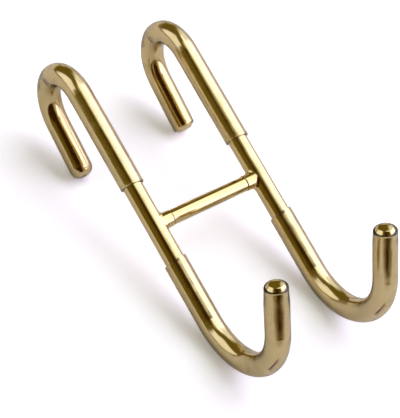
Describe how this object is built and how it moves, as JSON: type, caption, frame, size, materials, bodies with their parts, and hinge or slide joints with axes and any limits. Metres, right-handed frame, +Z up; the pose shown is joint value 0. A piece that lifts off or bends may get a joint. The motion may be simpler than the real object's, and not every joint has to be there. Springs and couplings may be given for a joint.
{
  "type": "over-door double hook",
  "caption": "Over-door double hook: parallel S-bent brass rods joined by a crossbar, with clear sleeves over the door bends and the coat hooks.",
  "frame": {"origin": "midway between the two hooks, at the underside of the door bends, where the top edge of the door sits", "axes": "+Z up along the shanks, +Y through the door to its far side, the coat hooks reach out towards -Y, X across from hook to hook"},
  "size_m": [0.0452, 0.0756, 0.1148],
  "materials": {
    "polished_brass": "polished",
    "clear_sleeve": "clear gloss"
  },
  "bodies": {
    "root": {"left_hook_rod": "polished_brass", "right_hook_rod": "polished_brass", "crossbar": "polished_brass", "left_door_sleeve": "clear_sleeve", "right_door_sleeve": "clear_sleeve", "left_coat_sleeve": "clear_sleeve", "right_coat_sleeve": "clear_sleeve"}
  },
  "joints": []
}
